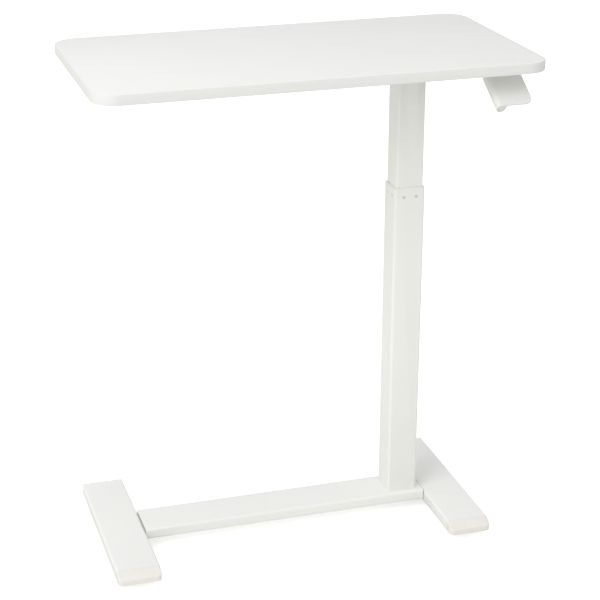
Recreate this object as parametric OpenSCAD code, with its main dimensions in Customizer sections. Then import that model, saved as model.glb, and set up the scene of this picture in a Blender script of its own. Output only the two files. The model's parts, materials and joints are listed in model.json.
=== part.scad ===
// Overbed table: a laminated top on an off-centre telescopic column, released by a hand
// lever, standing on a crossbar and two low feet with casters hidden under them.
// Millimetres. +Z is up, +X is to the right and the user sits at the front, on the -Y side.
// The origin is on the floor under the centre of the tabletop. The top is drawn fully raised.

/* [Tabletop] */
// Width of the tabletop, left to right
top_w = 700; // [680:10:760]
// Depth of the tabletop, front to back
top_d = 374; // [374:2:420]
// Thickness of the tabletop
top_t = 16; // [15:0.5:18]
// Radius of the tabletop's corners seen from above
top_corner_r = 38; // [25:1:60]
// Thickness of the band glued round the board's edge
band_t = 1; // [0.8:0.1:1.5]
// Height of the tabletop's surface above the floor when fully raised
top_height = 820; // [815:1:830]

/* [Column] */
// Distance from the tabletop's centre to the column's axis, towards the right
column_x = 188; // [184:1:192]
// Outside width of the lower, square column tube
lower_w = 51.5; // [50.5:0.5:53.5]
// Wall thickness of the lower column tube
lower_wall = 1.2; // [1.2:0.1:1.5]
// Outside width of the upper, square column tube
upper_w = 46.3; // [45.5:0.1:46.3]
// Wall thickness of the upper column tube
upper_wall = 1.5; // [1.2:0.1:2]
// Radius of the outside corners of the column tubes
tube_corner_r = 4; // [3:0.5:5]
// Height of the top of the lower column above the floor
collar_height = 587; // [580:1:590]
// Length of the upper column tube
upper_l = 421; // [400:1:440]
// How far the top goes down from its raised height
stroke = 190; // [170:5:190]

/* [Base] */
// Length of each foot, front to back
foot_l = 326; // [310:2:360]
// Width of each foot
foot_w = 71; // [68:1:76]
// Height of the foot's section
foot_h = 19.5; // [19.5:0.5:22]
// Sheet thickness of the feet
foot_wall = 2; // [1.5:0.5:2.5]
// Radius of the feet's long top edges
foot_edge_r = 3.5; // [2.5:0.5:5]
// Clear height between the floor and the feet
floor_gap = 15; // [14:0.5:15.5]
// Place of the left foot's middle, left of the tabletop's centre
left_foot_x = -304; // [-310:1:-290]
// Place of the right foot's middle, right of the tabletop's centre
right_foot_x = 260.5; // [258:0.5:268]
// Visible length of the plastic cap on a foot's front end
front_cap_l = 18; // [14:1:20]
// Visible length of the plastic cap on a foot's rear end
rear_cap_l = 5; // [4:1:8]
// Downward slope of the caps' tops towards their outer ends, in degrees
cap_slope = 30; // [20:1:35]
// Width of the crossbar, front to back
bar_w = 73; // [66:1:80]
// Height of the crossbar's section
bar_h = 17.5; // [16:0.5:18]
// Wall thickness of the crossbar
bar_wall = 2; // [1.5:0.5:2.5]
// Radius of the crossbar's long edges
bar_edge_r = 2.5; // [2.5:0.5:5]
// Height of the crossbar's top above the floor
bar_top = 37; // [36:0.5:38]
// Width of the shadow gap between the crossbar and each foot
bar_gap = 1; // [1:0.1:3]

/* [Release lever] */
// Place of the lever's sleeve, right of the tabletop's centre
lever_x = 270; // [264:1:272]
// Downward slope of the paddle towards the front, in degrees
lever_slope = 32; // [28:0.5:34]
// Place of the paddle's front end, front to back
lever_end_y = -181; // [-182:1:-176]
// Depth of the sleeve's front end below the tabletop's surface
lever_end_drop = 67.85; // [62:0.05:68]
// Width of the paddle's wing, from the sleeve's axis to its right edge
paddle_w = 52; // [40:0.5:60]
// Length of the paddle along its slope
paddle_l = 66; // [58:1:66]
// Thickness of the paddle's wing
paddle_t = 3.5; // [2.5:0.5:4]
// Outside radius of the paddle's sleeve
sleeve_r = 8; // [6:0.5:8]
// Radius of the steel lever rod
rod_r = 4; // [3.5:0.5:4]
// Place of the lever's hinge axis, front to back
pivot_y = -60; // [-62:1:-58]

/* [Casters] */
// Radius of the caster wheels
wheel_r = 12; // [11:0.5:12]
// Width of the caster wheels
wheel_w = 12; // [10:1:14]
// Distance from a caster's swivel axis back to its axle
trail = 10; // [8:1:10]
// Distance of the casters' swivel axes from the middle of the feet
caster_y = 112; // [100:1:113]

/* [Hidden] */
$fn = 64;
eps = 0.01;

// Clearances: a bore round a fixed shank, round a turning or sliding shaft, and a loose hole
fixed_gap = 0.03;
running_gap = 0.05;
loose_gap = 0.3;

// Tabletop and the steel support under it
top_under = top_height - top_t;
board_w = top_w - 2 * band_t;
board_d = top_d - 2 * band_t;
support_t = 3;
support_left = -130;
support_right = 252;
support_d = 160;
support_flange = 15;
support_under = top_under - support_t;
support_w = support_right - support_left;
support_x = (support_left + support_right) / 2;
top_screw_x = [-110, 50, 228];
top_screw_y = support_d / 2 - 12;
top_screw_r = 2;
top_screw_l = 11;
top_screw_head_r = 4;
top_screw_head_h = 2.4;

// Column tubes, guide bush and glide
bush_lip = 1.5;
bush_l = 42;
bush_side_gap = 0.1;
bush_run_gap = 0.2;
bush_pin_r = 2.3;
bush_pin_pitch = 21;
bush_pin_drop = 15.5;
bush_pin_recess = 0.3;
lower_inside = lower_w - 2 * lower_wall;
lower_top = collar_height - bush_lip;
lower_l = lower_top - bar_top;
upper_inside = upper_w - 2 * upper_wall;
upper_bottom = support_under - upper_l;
glide_w = lower_inside - 0.5;
glide_flange = 5;
glide_plug = 25;
glide_bore_r = 15;
notch_w = 16;
notch_h = 24;

// Release lever and its hinge
pivot_z = top_height - 30;
finger_w = 10;
finger_t = 5;
finger_tip = 5;
rod_start_x = column_x - 12;
lever_end_z = top_height - lever_end_drop;
rod_bend_y = lever_end_y + (pivot_z - lever_end_z) / tan(lever_slope);
sleeve_wall_l = 8;
paddle_corner_r = 9;
paddle_inner_r = 3;
block_w = 14;
block_d = 26;
block_x = [212, 243];
block_under = pivot_z - 7;
block_h = support_under - block_under;
block_screw_r = 2;
block_screw_pitch = 18;
block_screw_head_r = 3.5;
block_screw_head_h = 2.5;

// Gas spring in the column: pin, rod, piston, cylinder and what holds its two ends
lever_turn = 5;
pin_stroke = -pivot_y * sin(lever_turn);
pin_r = 2;
pin_gap = 0.4;
pin_l = 22;
pin_top = pivot_z - finger_t / 2 - pin_gap;
spring_rod_r = 5;
spring_rod_top = pin_top - 8;
head_plate_t = 6;
head_nut_h = 8;
head_nut_r = 9;
head_plate_top = spring_rod_top - 3 - head_nut_h;
head_plate_under = head_plate_top - head_plate_t;
cylinder_r = 11;
cylinder_wall = 1.5;
cylinder_base = 5;
gland_l = 15;
gland_lip = 3;
piston_l = 15;
cylinder_top = head_plate_under - stroke - gland_lip - 7;
piston_top = cylinder_top - gland_l - 10;
cylinder_under = piston_top - piston_l - stroke - 8 - cylinder_base;
stud_r = 4;
stud_l = 12;
support_tube_r = 12.5;
support_tube_wall = 2;
base_plate_t = 6;
base_plate_w = lower_inside - 0.4;
column_bolt_pitch = 30;

// Base
m6_r = 3;
m6_head_r = 5;
m6_head_h = 6;
m5_r = 2.5;
m5_head_r = 4.25;
m5_head_h = 5;
m5_nut_r = 4.62;
m5_nut_h = 4;
access_r = 7.5;
foot_top = floor_gap + foot_h;
foot_inside_top = foot_top - foot_wall;
left_joint_x = left_foot_x + foot_w / 2;
right_joint_x = right_foot_x - foot_w / 2;
bar_left = left_joint_x + bar_gap;
bar_right = right_joint_x - bar_gap;
bar_under = bar_top - bar_h;
bar_mid_z = bar_top - bar_h / 2;
foot_bolt_y = 22;
foot_bolt_z = bar_mid_z - 1.25;
end_plate_inset = 4;
end_plate_corner_r = 1;
cap_plug_l = 10;
cap_plug_gap = 0.1;
cap_wall = 2.5;
front_corner_r = 9;
rear_corner_r = 3;

// Casters
caster_plate_w = foot_w - 2 * foot_edge_r - 0.4;
caster_plate_l = 44;
caster_plate_t = 3;
stem_r = 4;
stem_head_r = 5.2;
stem_head_h = 1.2;
stem_head_gap = 0.15;
stem_bore_l = caster_plate_t - 1.5;
crown_r = 8;
crown_gap = 0.2;
crown_t = 3;
crown_top = foot_inside_top - caster_plate_t - crown_gap;
crown_under = crown_top - crown_t;
cheek_t = 2;
cheek_gap = 0.6;
fork_w = wheel_w + 2 * (cheek_t + cheek_gap);
axle_r = 2;
cheek_eye_r = 4.5;
tread_r = 1.5;

// ---- Shared shapes ----

// Rectangle centred on the origin with rounded corners
module round_rect(w, d, r) {
    square([w - 2 * r, d], center = true);
    square([w, d - 2 * r], center = true);
    for (sx = [-1, 1], sy = [-1, 1])
        translate([sx * (w / 2 - r), sy * (d / 2 - r)])
            circle(r = r);
}

// Square tube standing on the XY plane
module square_tube(w, wall, r, h) {
    linear_extrude(h)
        difference() {
            round_rect(w, w, r);
            round_rect(w - 2 * wall, w - 2 * wall, r - wall);
        }
}

// Cylinder lying along +X from the origin
module rod_x(r, l) {
    rotate([0, 90, 0])
        cylinder(r = r, h = l);
}

// Cylinder lying along +Y from the origin
module rod_y(r, l) {
    rotate([-90, 0, 0])
        cylinder(r = r, h = l);
}

// Moves its children to the column's axis
module at_column(z = 0) {
    translate([column_x, 0, z])
        children();
}

// Places of the screws that hold the tabletop
module at_top_screws(z) {
    for (x = top_screw_x, side = [-1, 1])
        translate([x, side * top_screw_y, z])
            children();
}

// Places of the screws of one bearing block
module at_block_screws(x, z) {
    for (side = [-1, 1])
        translate([x, pivot_y + side * block_screw_pitch / 2, z])
            children();
}

// Places of the four bolts under the column
module at_column_bolts(z) {
    for (sx = [-1, 1], sy = [-1, 1])
        translate([column_x + sx * column_bolt_pitch / 2, sy * column_bolt_pitch / 2, z])
            children();
}

// Turns children drawn along +X to point into the crossbar at one foot's joint.
// side is -1 at the left foot and 1 at the right foot
module at_joint(side, y = 0, z = bar_mid_z) {
    translate([side < 0 ? left_joint_x : right_joint_x, y, z])
        rotate([0, 0, side < 0 ? 0 : 180])
            children();
}

// Places of the two bolts that join a foot to the crossbar
module at_foot_bolts(side) {
    for (y = [-foot_bolt_y, foot_bolt_y])
        at_joint(side, y, foot_bolt_z)
            children();
}

// ---- Tabletop ----

module tabletop_board() {
    color("white")
        difference() {
            translate([0, 0, top_under])
                linear_extrude(top_t)
                    round_rect(board_w, board_d, top_corner_r - band_t);
            at_top_screws(top_under - eps)
                cylinder(r = top_screw_r + fixed_gap, h = top_screw_l + eps);
        }
}

module tabletop_edge_band() {
    color("whitesmoke")
        translate([0, 0, top_under])
            linear_extrude(top_t)
                difference() {
                    round_rect(top_w, top_d, top_corner_r);
                    round_rect(board_w, board_d, top_corner_r - band_t);
                }
}

module top_support() {
    flange_h = support_flange;
    color("whitesmoke")
        difference() {
            translate([support_x, 0, 0]) {
                translate([0, 0, support_under])
                    linear_extrude(support_t)
                        round_rect(support_w, support_d, 8);
                for (side = [-1, 1])
                    translate([0, side * (support_d - support_t) / 2, top_under - flange_h])
                        linear_extrude(flange_h - support_t + eps)
                            square([support_w - 16, support_t], center = true);
            }
            at_top_screws(support_under - eps)
                cylinder(r = top_screw_r + loose_gap, h = support_t + 2 * eps);
            for (x = block_x)
                at_block_screws(x, support_under - eps)
                    cylinder(r = block_screw_r + fixed_gap, h = support_t + 2 * eps);
        }
}

module tabletop_screws() {
    color("silver")
        at_top_screws(support_under) {
            cylinder(r = top_screw_r, h = support_t + top_screw_l - 1);
            translate([0, 0, -top_screw_head_h])
                cylinder(r = top_screw_head_r, h = top_screw_head_h);
        }
}

// ---- Column, moving half ----

module upper_column_tube() {
    color("white")
        at_column()
            difference() {
                translate([0, 0, upper_bottom])
                    square_tube(upper_w, upper_wall, tube_corner_r, upper_l);
                translate([-notch_w / 2, -upper_w / 2 - 1, support_under - notch_h])
                    cube([notch_w, upper_wall + 2, notch_h + 1]);
            }
}

module lower_glide() {
    color("dimgray")
        at_column(upper_bottom)
            difference() {
                union() {
                    translate([0, 0, -glide_flange])
                        linear_extrude(glide_flange)
                            round_rect(glide_w, glide_w, tube_corner_r);
                    linear_extrude(glide_plug)
                        round_rect(upper_inside - 0.1, upper_inside - 0.1,
                                   tube_corner_r - upper_wall);
                }
                translate([0, 0, -glide_flange - 1])
                    cylinder(r = glide_bore_r, h = glide_flange + glide_plug + 2);
            }
}

module spring_head_plate() {
    plate_w = upper_inside - 0.1;
    color("silver")
        at_column(head_plate_under)
            difference() {
                linear_extrude(head_plate_t)
                    round_rect(plate_w, plate_w, tube_corner_r - upper_wall);
                translate([0, 0, -1])
                    cylinder(r = spring_rod_r + fixed_gap, h = head_plate_t + 2);
            }
}

module spring_head_nut() {
    color("silver")
        at_column(head_plate_top)
            difference() {
                cylinder(r = head_nut_r, h = head_nut_h, $fn = 6);
                translate([0, 0, -1])
                    cylinder(r = spring_rod_r + fixed_gap, h = head_nut_h + 2);
            }
}

module gas_spring_rod() {
    rod_under = piston_top - piston_l;
    pin_hole_l = pin_l + pin_stroke + 3;
    color("silver")
        at_column()
            difference() {
                translate([0, 0, rod_under])
                    cylinder(r = spring_rod_r, h = spring_rod_top - rod_under);
                translate([0, 0, pin_top - pin_hole_l])
                    cylinder(r = pin_r + running_gap, h = pin_hole_l);
            }
}

module gas_spring_piston() {
    color("dimgray")
        at_column(piston_top - piston_l)
            difference() {
                cylinder(r = cylinder_r - cylinder_wall - running_gap, h = piston_l);
                translate([0, 0, -1])
                    cylinder(r = spring_rod_r + fixed_gap, h = piston_l + 2);
            }
}

module release_pin() {
    color("gold")
        at_column(pin_top - pin_l)
            cylinder(r = pin_r, h = pin_l);
}

// ---- Release lever ----

// Moves its children to the sleeve's front end, with +Y pointing up the sleeve
module at_sleeve_end() {
    translate([lever_x, lever_end_y, lever_end_z])
        rotate([lever_slope, 0, 0])
            children();
}

module lever_rod() {
    color("silver") {
        translate([rod_start_x, pivot_y, pivot_z])
            rod_x(rod_r, lever_x - rod_start_x);
        translate([lever_x, pivot_y, pivot_z])
            sphere(r = rod_r);
        translate([lever_x, rod_bend_y, pivot_z])
            rod_y(rod_r, pivot_y - rod_bend_y);
        translate([lever_x, rod_bend_y, pivot_z])
            sphere(r = rod_r);
        at_sleeve_end()
            translate([0, sleeve_wall_l, 0])
                rod_y(rod_r, (rod_bend_y - lever_end_y) / cos(lever_slope) - sleeve_wall_l);
    }
}

module release_finger() {
    eye_r = rod_r + 3;
    color("silver")
        difference() {
            translate([column_x - finger_w / 2, 0, pivot_z]) {
                translate([0, pivot_y, 0])
                    rod_x(eye_r, finger_w);
                translate([0, pivot_y, -finger_t / 2])
                    cube([finger_w, -pivot_y + finger_tip, finger_t]);
            }
            translate([column_x - finger_w, pivot_y, pivot_z])
                rod_x(rod_r + fixed_gap, 2 * finger_w);
        }
}

// Outline of the wing: its front right corner is rounded far more than the rear one
module wing_outline() {
    translate([0, paddle_corner_r])
        square([paddle_w, paddle_l - paddle_corner_r - paddle_inner_r]);
    square([paddle_w - paddle_corner_r, paddle_l]);
    translate([paddle_w - paddle_corner_r, paddle_corner_r])
        circle(r = paddle_corner_r);
    translate([0, paddle_l - 2 * paddle_inner_r])
        square([paddle_w - paddle_inner_r, 2 * paddle_inner_r]);
    translate([paddle_w - paddle_inner_r, paddle_l - paddle_inner_r])
        circle(r = paddle_inner_r);
}

module lever_paddle() {
    web_w = sleeve_r + 5;
    color("white")
        at_sleeve_end()
            difference() {
                union() {
                    rod_y(sleeve_r, paddle_l);
                    translate([0, 0, sleeve_r - paddle_t])
                        linear_extrude(paddle_t)
                            wing_outline();
                    translate([0, paddle_l, 0])
                        rotate([90, 0, 0])
                            linear_extrude(paddle_l)
                                polygon([[0, 0], [sleeve_r - 1, -1],
                                         [web_w, sleeve_r - paddle_t + eps],
                                         [0, sleeve_r - paddle_t + eps]]);
                }
                translate([0, sleeve_wall_l, 0])
                    rod_y(rod_r + fixed_gap, paddle_l);
            }
}

module bearing_block(x) {
    color("dimgray")
        difference() {
            translate([x - block_w / 2, pivot_y - block_d / 2, block_under])
                cube([block_w, block_d, block_h]);
            translate([x - block_w, pivot_y, pivot_z])
                rod_x(rod_r + running_gap, 2 * block_w);
            at_block_screws(x, block_under - 1)
                cylinder(r = block_screw_r + fixed_gap, h = block_h + 2);
        }
}

module bearing_block_screws() {
    color("silver")
        for (x = block_x)
            at_block_screws(x, block_under) {
                cylinder(r = block_screw_r, h = block_h + support_t);
                translate([0, 0, -block_screw_head_h])
                    cylinder(r = block_screw_head_r, h = block_screw_head_h);
            }
}

// ---- Column, fixed half ----

// Places of the eight pins that hold the guide bush, pointing out of each face
module at_bush_pins() {
    for (turn = [0 : 90 : 270], side = [-1, 1])
        at_column(collar_height - bush_pin_drop)
            rotate([0, 0, turn])
                translate([0, side * bush_pin_pitch / 2, 0])
                    children();
}

module lower_column_tube() {
    color("white")
        difference() {
            at_column(bar_top)
                square_tube(lower_w, lower_wall, tube_corner_r, lower_l);
            at_bush_pins()
                translate([lower_inside / 2 - 1, 0, 0])
                    rod_x(bush_pin_r + fixed_gap, lower_wall + 2);
        }
}

module upper_guide_bush() {
    outer_w = lower_inside - 2 * bush_side_gap;
    inner_w = upper_w + 2 * bush_run_gap;
    color("gainsboro")
        difference() {
            at_column() {
                translate([0, 0, collar_height - bush_l])
                    linear_extrude(bush_l - bush_lip + eps)
                        round_rect(outer_w, outer_w, tube_corner_r - lower_wall);
                translate([0, 0, lower_top])
                    linear_extrude(bush_lip)
                        round_rect(lower_w - 1, lower_w - 1, tube_corner_r - 0.5);
            }
            at_column(collar_height - bush_l - 1)
                linear_extrude(bush_l + 2)
                    round_rect(inner_w, inner_w, tube_corner_r - 1);
        }
}

module guide_bush_pins() {
    inner_face = lower_inside / 2 - bush_side_gap;
    color("lightgray")
        at_bush_pins()
            translate([inner_face, 0, 0])
                rod_x(bush_pin_r, lower_w / 2 - inner_face - bush_pin_recess);
}

module gas_spring_cylinder() {
    color("dimgray")
        at_column() {
            translate([0, 0, cylinder_under])
                difference() {
                    cylinder(r = cylinder_r, h = cylinder_top - cylinder_under);
                    translate([0, 0, cylinder_base])
                        cylinder(r = cylinder_r - cylinder_wall, h = cylinder_top);
                }
            translate([0, 0, cylinder_under - stud_l])
                cylinder(r = stud_r, h = stud_l + eps);
        }
}

module gas_spring_gland() {
    color("black")
        at_column(cylinder_top)
            difference() {
                union() {
                    translate([0, 0, -gland_l])
                        cylinder(r = cylinder_r - cylinder_wall - fixed_gap, h = gland_l + eps);
                    cylinder(r = cylinder_r - 0.5, h = gland_lip);
                }
                translate([0, 0, -gland_l - 1])
                    cylinder(r = spring_rod_r + running_gap, h = gland_l + gland_lip + 2);
            }
}

module spring_support_tube() {
    tube_under = bar_top + base_plate_t;
    tube_l = cylinder_under - tube_under;
    color("silver")
        at_column(tube_under)
            difference() {
                cylinder(r = support_tube_r, h = tube_l);
                translate([0, 0, -1])
                    cylinder(r = support_tube_r - support_tube_wall, h = tube_l - stud_l - 2);
                translate([0, 0, tube_l - stud_l - 4])
                    cylinder(r = stud_r + fixed_gap, h = stud_l + 5);
            }
}

module column_base_plate() {
    color("silver")
        difference() {
            at_column(bar_top)
                linear_extrude(base_plate_t)
                    round_rect(base_plate_w, base_plate_w, tube_corner_r - lower_wall);
            at_column_bolts(bar_top - 1)
                cylinder(r = m6_r + fixed_gap, h = base_plate_t + 2);
        }
}

module column_bolts() {
    color("silver")
        at_column_bolts(bar_top - bar_wall) {
            cylinder(r = m6_r, h = bar_wall + base_plate_t);
            translate([0, 0, -m6_head_h])
                cylinder(r = m6_head_r, h = m6_head_h);
        }
}

// ---- Base ----

module crossbar() {
    color("white")
        difference() {
            translate([bar_left, 0, bar_mid_z])
                rotate([90, 0, 90])
                    linear_extrude(bar_right - bar_left)
                        difference() {
                            round_rect(bar_w, bar_h, bar_edge_r);
                            round_rect(bar_w - 2 * bar_wall, bar_h - 2 * bar_wall,
                                       bar_edge_r - bar_wall);
                        }
            at_column_bolts(bar_mid_z)
                cylinder(r = m6_r + loose_gap, h = bar_h);
            at_column_bolts(bar_under - 1)
                cylinder(r = access_r, h = bar_h / 2);
        }
}

module crossbar_end_plate(side) {
    plate_w = bar_w - 2 * end_plate_inset;
    plate_h = bar_h - 2 * end_plate_inset;
    color("gainsboro")
        difference() {
            at_joint(side)
                rotate([90, 0, 90])
                    linear_extrude(bar_gap)
                        round_rect(plate_w, plate_h, end_plate_corner_r);
            at_foot_bolts(side)
                translate([-1, 0, 0])
                    rod_x(m5_r + fixed_gap, bar_gap + 2);
        }
}

module foot(x, side) {
    channel_l = foot_l - front_cap_l - rear_cap_l;
    color("white")
        difference() {
            translate([x, foot_l / 2 - rear_cap_l, floor_gap])
                rotate([90, 0, 0])
                    linear_extrude(channel_l)
                        foot_profile(foot_wall);
            at_foot_bolts(side)
                translate([-foot_wall - 1, 0, 0])
                    rod_x(m5_r + loose_gap, foot_wall + 2);
        }
}

// Outline of a foot's section, standing on the X axis, with its two top edges rounded
module foot_outline(w, h, r) {
    translate([-w / 2, 0])
        square([w, h - r]);
    translate([-w / 2 + r, 0])
        square([w - 2 * r, h]);
    for (side = [-1, 1])
        translate([side * (w / 2 - r), h - r])
            circle(r = r);
}

// Section of the bent sheet of a foot, open towards the floor
module foot_profile(wall) {
    difference() {
        foot_outline(foot_w, foot_h, foot_edge_r);
        translate([0, -1])
            foot_outline(foot_w - 2 * wall, foot_h - wall + 1, foot_edge_r - wall);
    }
}

module foot_bolts() {
    color("silver")
        for (side = [-1, 1])
            at_foot_bolts(side)
                translate([-foot_wall, 0, 0]) {
                    rod_x(m5_r, foot_wall + bar_gap + m5_nut_h + 2);
                    translate([-m5_head_h, 0, 0])
                        rod_x(m5_head_r, m5_head_h);
                }
}

module foot_nuts() {
    color("silver")
        for (side = [-1, 1])
            at_foot_bolts(side)
                difference() {
                    translate([bar_gap, 0, 0])
                        rotate([0, 90, 0])
                            cylinder(r = m5_nut_r, h = m5_nut_h, $fn = 6);
                    rod_x(m5_r + fixed_gap, bar_gap + m5_nut_h + 1);
                }
}

// Cap that closes a foot's end: its visible head is rounded in plan, its top slopes down
// to the outer face, and a hollow plug holds it inside the channel. It is drawn with its
// outer end on the plane Y = 0, pointing towards +Y.
module end_cap(cap_l, corner_r) {
    plug_w = foot_w - 2 * foot_wall - 2 * cap_plug_gap;
    plug_h = foot_h - foot_wall - cap_plug_gap;
    plug_r = foot_edge_r - foot_wall;
    intersection() {
        translate([0, cap_l, 0])
            rotate([90, 0, 0])
                linear_extrude(cap_l)
                    foot_outline(foot_w, foot_h, foot_edge_r);
        linear_extrude(foot_h)
            cap_plan(cap_l, corner_r);
        rotate([90, 0, 90])
            translate([0, 0, -foot_w / 2])
                linear_extrude(foot_w)
                    cap_side(cap_l);
    }
    translate([0, cap_l + cap_plug_l, 0])
        rotate([90, 0, 0])
            linear_extrude(cap_plug_l + eps)
                difference() {
                    foot_outline(plug_w, plug_h, plug_r);
                    translate([0, cap_wall])
                        foot_outline(plug_w - 2 * cap_wall, plug_h - 2 * cap_wall, plug_r);
                }
}

// Plan of a cap's head: the two outer corners are rounded
module cap_plan(cap_l, r) {
    translate([-foot_w / 2, r])
        square([foot_w, cap_l - r]);
    translate([-foot_w / 2 + r, 0])
        square([foot_w - 2 * r, cap_l]);
    for (side = [-1, 1])
        translate([side * (foot_w / 2 - r), r])
            circle(r = r);
}

// Side view of a cap's head: the top slopes down to the outer face
module cap_side(cap_l) {
    outer_h = foot_h - cap_l * tan(cap_slope);
    polygon([[0, 0], [cap_l, 0], [cap_l, foot_h], [0, outer_h]]);
}

module front_cap(x) {
    color("ivory")
        translate([x, -foot_l / 2, floor_gap])
            end_cap(front_cap_l, front_corner_r);
}

module rear_cap(x) {
    color("white")
        translate([x, foot_l / 2, floor_gap])
            rotate([0, 0, 180])
                end_cap(rear_cap_l, rear_corner_r);
}

// ---- Casters: side is -1 left or 1 right, end is -1 front or 1 rear ----

// Moves its children to a caster's swivel axis. The axle trails towards the foot's middle
module at_caster(side, end) {
    translate([side < 0 ? left_foot_x : right_foot_x, end * caster_y, 0])
        rotate([0, 0, end < 0 ? 0 : 180])
            children();
}

module caster_plate(side, end) {
    color("silver")
        at_caster(side, end)
            translate([0, 0, foot_inside_top - caster_plate_t])
                difference() {
                    linear_extrude(caster_plate_t)
                        round_rect(caster_plate_w, caster_plate_l, 1.5);
                    translate([0, 0, -1])
                        cylinder(r = stem_r + running_gap, h = caster_plate_t + 2);
                    translate([0, 0, stem_bore_l])
                        cylinder(r = stem_head_r + loose_gap, h = caster_plate_t);
                }
}

// Side view of a fork's cheek: an eye round the axle, joined to the crown
module cheek_outline() {
    translate([trail, wheel_r])
        circle(r = cheek_eye_r);
    polygon([[-crown_r, crown_under + eps], [-crown_r, crown_under - 1.5],
             [trail - cheek_eye_r, wheel_r], [trail + cheek_eye_r, wheel_r],
             [trail + cheek_eye_r, crown_under + eps]]);
}

module caster_fork(side, end) {
    stem_top = crown_top + crown_gap + stem_bore_l + stem_head_gap;
    cheek_x = fork_w / 2;
    color("dimgray")
        at_caster(side, end)
            difference() {
                union() {
                    translate([-cheek_x, -crown_r, crown_under])
                        cube([fork_w, crown_r + trail + cheek_eye_r, crown_t]);
                    cylinder_from(stem_r, crown_top - eps, stem_top + eps);
                    cylinder_from(stem_head_r, stem_top, stem_top + stem_head_h);
                    for (x = [-cheek_x, cheek_x - cheek_t])
                        translate([x, 0, 0])
                            rotate([90, 0, 90])
                                linear_extrude(cheek_t)
                                    cheek_outline();
                }
                translate([-fork_w, trail, wheel_r])
                    rod_x(axle_r + fixed_gap, 2 * fork_w);
            }
}

// Upright cylinder between two heights
module cylinder_from(r, low, high) {
    translate([0, 0, low])
        cylinder(r = r, h = high - low);
}

module caster_axle(side, end) {
    color("silver")
        at_caster(side, end)
            translate([-fork_w / 2, trail, wheel_r])
                rod_x(axle_r, fork_w);
}

// Half section of a wheel: rim with rounded shoulders, thinner web and a hub
module wheel_section() {
    bore_r = axle_r + running_gap;
    rim_in = wheel_r - 4;
    hub_r = axle_r + 2.5;
    half_w = wheel_w / 2;
    translate([bore_r, -half_w])
        square([hub_r - bore_r, wheel_w]);
    translate([hub_r - eps, -half_w + 2.5])
        square([rim_in - hub_r + 2 * eps, wheel_w - 5]);
    translate([rim_in, -half_w])
        square([wheel_r - tread_r - rim_in, wheel_w]);
    translate([rim_in, -half_w + tread_r])
        square([wheel_r - rim_in, wheel_w - 2 * tread_r]);
    for (s = [-1, 1])
        translate([wheel_r - tread_r, s * (half_w - tread_r)])
            circle(r = tread_r, $fn = 24);
}

module caster_wheel(side, end) {
    color("gray")
        at_caster(side, end)
            translate([0, trail, wheel_r])
                rotate([0, 90, 0])
                    rotate_extrude()
                        wheel_section();
}

tabletop_board();
tabletop_edge_band();
top_support();
tabletop_screws();
upper_column_tube();
lower_glide();
spring_head_plate();
spring_head_nut();
gas_spring_rod();
gas_spring_piston();
release_pin();
lever_rod();
release_finger();
lever_paddle();
bearing_block(block_x[0]);  // bearing_block_left
bearing_block(block_x[1]);  // bearing_block_right
bearing_block_screws();
lower_column_tube();
upper_guide_bush();
guide_bush_pins();
gas_spring_cylinder();
gas_spring_gland();
spring_support_tube();
column_base_plate();
column_bolts();
crossbar();
crossbar_end_plate(-1);  // crossbar_end_plate_left
crossbar_end_plate(1);  // crossbar_end_plate_right
foot(left_foot_x, -1);  // foot_left
foot(right_foot_x, 1);  // foot_right
foot_bolts();
foot_nuts();
front_cap(left_foot_x);  // front_cap_left
front_cap(right_foot_x);  // front_cap_right
rear_cap(left_foot_x);  // rear_cap_left
rear_cap(right_foot_x);  // rear_cap_right
caster_plate(-1, -1);  // caster_plate_front_left
caster_plate(1, -1);  // caster_plate_front_right
caster_plate(-1, 1);  // caster_plate_rear_left
caster_plate(1, 1);  // caster_plate_rear_right
caster_fork(-1, -1);  // caster_fork_front_left
caster_fork(1, -1);  // caster_fork_front_right
caster_fork(-1, 1);  // caster_fork_rear_left
caster_fork(1, 1);  // caster_fork_rear_right
caster_axle(-1, -1);  // caster_axle_front_left
caster_axle(1, -1);  // caster_axle_front_right
caster_axle(-1, 1);  // caster_axle_rear_left
caster_axle(1, 1);  // caster_axle_rear_right
caster_wheel(-1, -1);  // caster_wheel_front_left
caster_wheel(1, -1);  // caster_wheel_front_right
caster_wheel(-1, 1);  // caster_wheel_rear_left
caster_wheel(1, 1);  // caster_wheel_rear_right
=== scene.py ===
import json
import math

import bmesh
import bpy
from mathutils import Matrix, Vector


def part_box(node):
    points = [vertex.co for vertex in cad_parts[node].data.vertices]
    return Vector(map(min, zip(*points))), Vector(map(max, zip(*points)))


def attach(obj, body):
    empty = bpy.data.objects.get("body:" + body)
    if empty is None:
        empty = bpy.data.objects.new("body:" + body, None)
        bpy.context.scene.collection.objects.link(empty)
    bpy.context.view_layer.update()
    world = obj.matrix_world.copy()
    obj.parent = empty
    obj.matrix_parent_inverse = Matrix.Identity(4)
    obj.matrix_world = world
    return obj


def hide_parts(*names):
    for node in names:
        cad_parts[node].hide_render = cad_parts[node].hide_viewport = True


# Looks of the overbed table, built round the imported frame. Metres, +Z up, front on -Y.
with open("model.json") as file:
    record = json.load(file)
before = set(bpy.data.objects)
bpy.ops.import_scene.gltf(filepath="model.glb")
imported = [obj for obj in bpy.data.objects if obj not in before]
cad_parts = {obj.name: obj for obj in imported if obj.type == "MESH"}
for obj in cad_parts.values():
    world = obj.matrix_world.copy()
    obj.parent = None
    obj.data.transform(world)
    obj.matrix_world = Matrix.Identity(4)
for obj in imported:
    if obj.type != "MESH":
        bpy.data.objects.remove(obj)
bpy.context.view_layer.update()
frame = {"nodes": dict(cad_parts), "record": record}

BODIES = frame["record"]["behaviour"]["bodies"]
BODY_OF = {node: body for body, nodes in BODIES.items() for node in nodes}
SLOT_OF = {part["node"]: part["material_slot"] for part in frame["record"]["subparts"]}
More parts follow.
